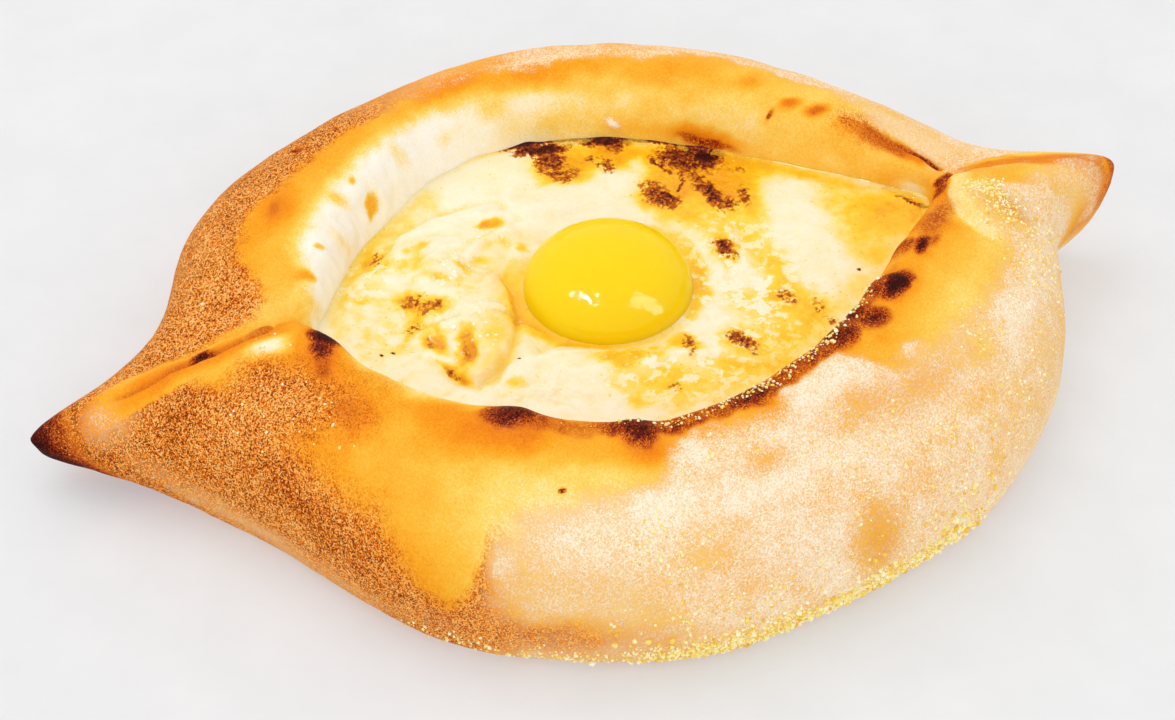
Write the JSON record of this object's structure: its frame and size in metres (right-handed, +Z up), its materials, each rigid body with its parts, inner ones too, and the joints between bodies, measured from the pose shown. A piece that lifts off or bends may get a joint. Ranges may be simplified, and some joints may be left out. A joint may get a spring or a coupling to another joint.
{
  "type": "boat-shaped cheese bread",
  "caption": "Boat-shaped cheese bread, khachapuri, with a pinched tip at each end, a high rolled wall, a melted cheese filling and a raw egg yolk.",
  "frame": {"origin": "under the middle of the loaf, on the surface that it rests on", "axes": "+X along the boat towards its slim tip, +Y across it, +Z up"},
  "size_m": [0.2766, 0.1866, 0.0416],
  "materials": {
    "crust": "baked crust, satin where it browned and dull where it is floured",
    "filling": "melted cheese, buttery",
    "yolk": "wet"
  },
  "bodies": {
    "root": {"bread": "crust", "cheese": "filling", "yolk": "yolk"}
  },
  "joints": []
}
